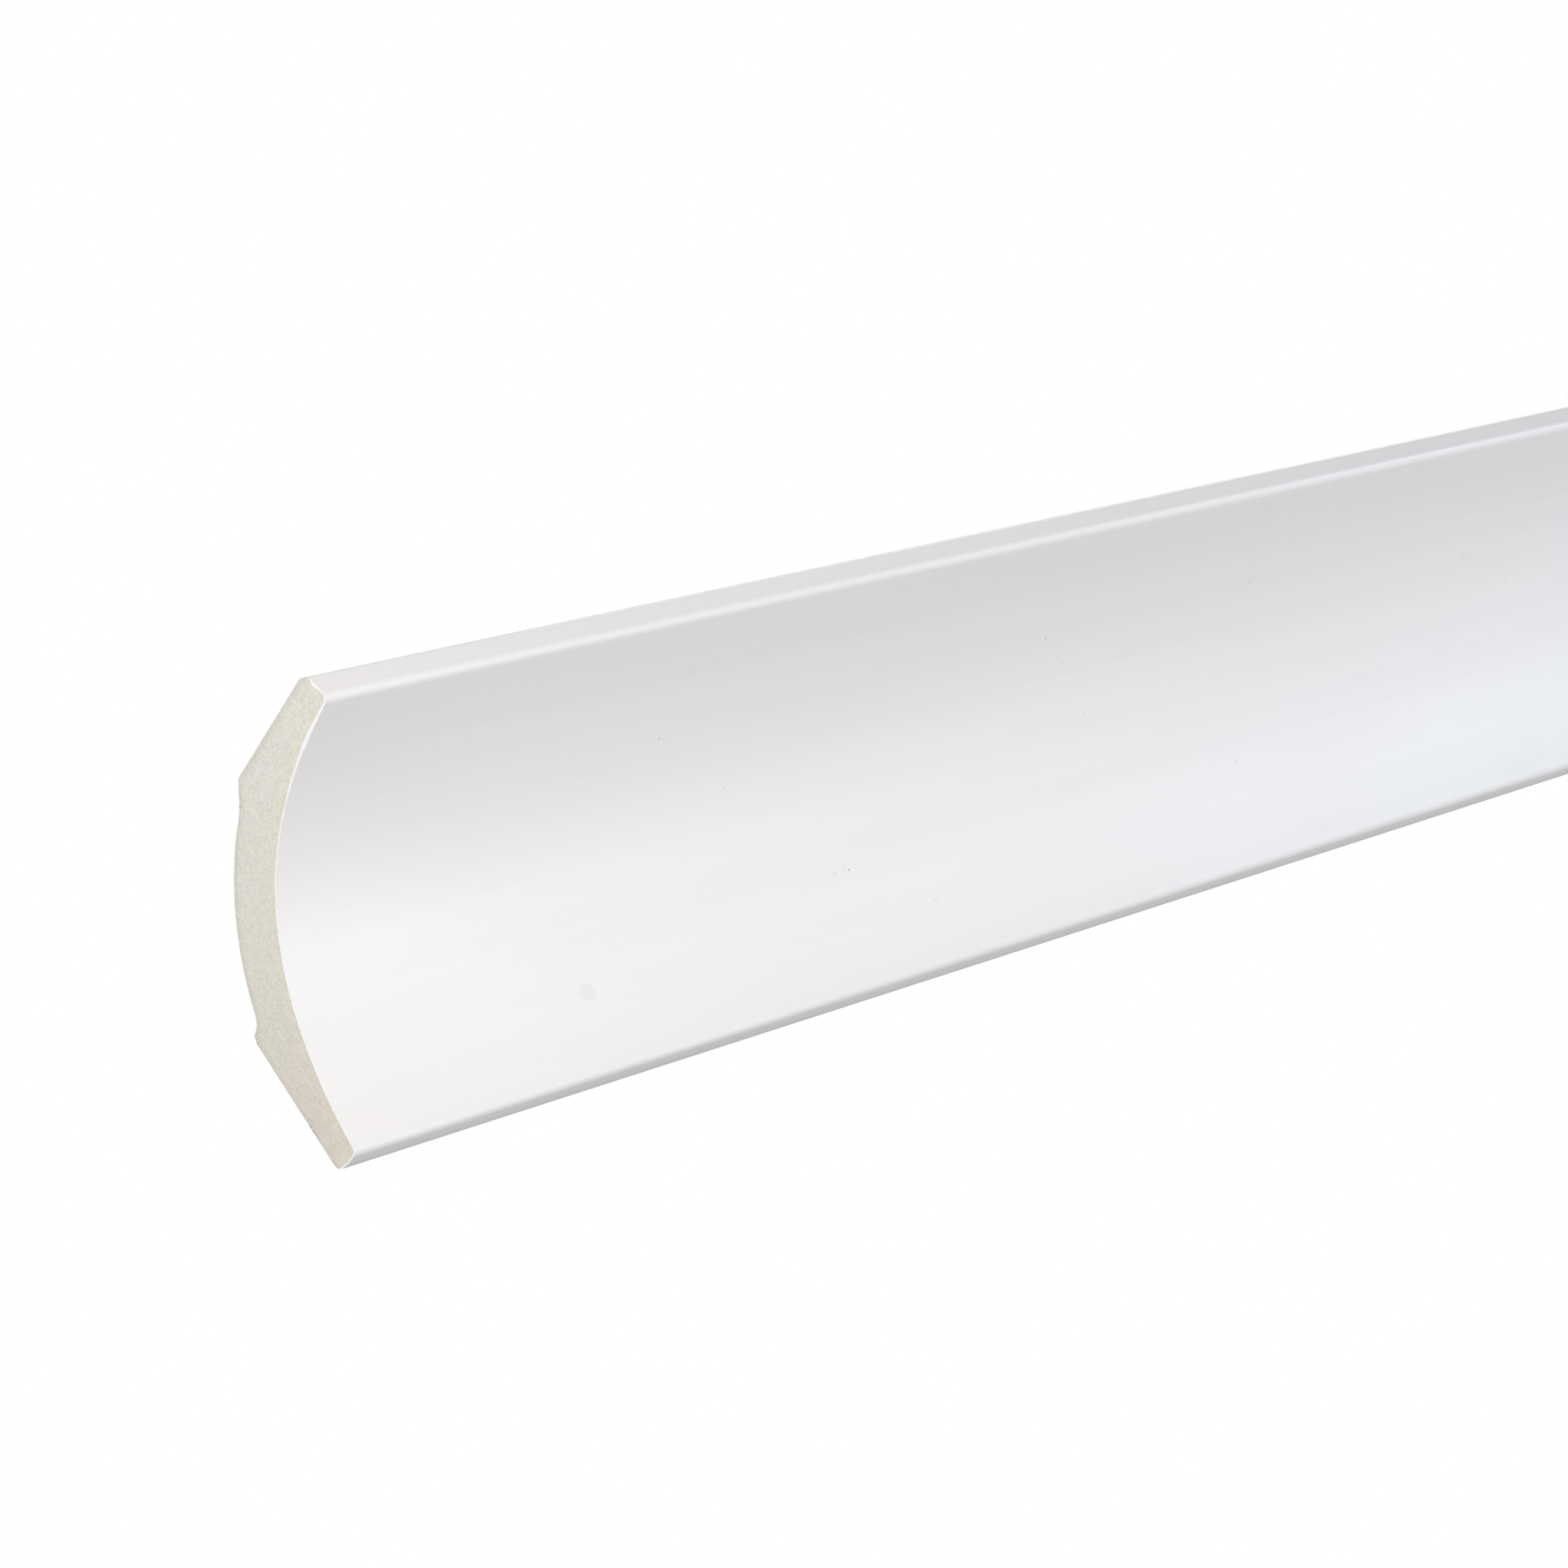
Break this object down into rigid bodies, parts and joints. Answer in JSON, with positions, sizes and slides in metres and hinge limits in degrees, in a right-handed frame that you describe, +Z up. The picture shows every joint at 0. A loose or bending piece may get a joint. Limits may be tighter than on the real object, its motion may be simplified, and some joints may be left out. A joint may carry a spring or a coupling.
{
  "type": "crown moulding length",
  "caption": "Straight length of plain cove crown moulding in white-coated rigid foam, cut square at its ends, with flat back faces that glue to the wall and the ceiling.",
  "frame": {"origin": "middle of the flat face that is glued to the wall, at mid-length", "axes": "+X along the length, +Y into the wall, +Z up into the ceiling; the cove faces the room, towards -Y and -Z"},
  "size_m": [1, 0.08, 0.0767],
  "materials": {
    "white_coat": "satin white coat on the cove and both lips, bare cream-grey foam on the cut ends and the back"
  },
  "bodies": {
    "root": {"crown_moulding": "white_coat"}
  },
  "joints": []
}
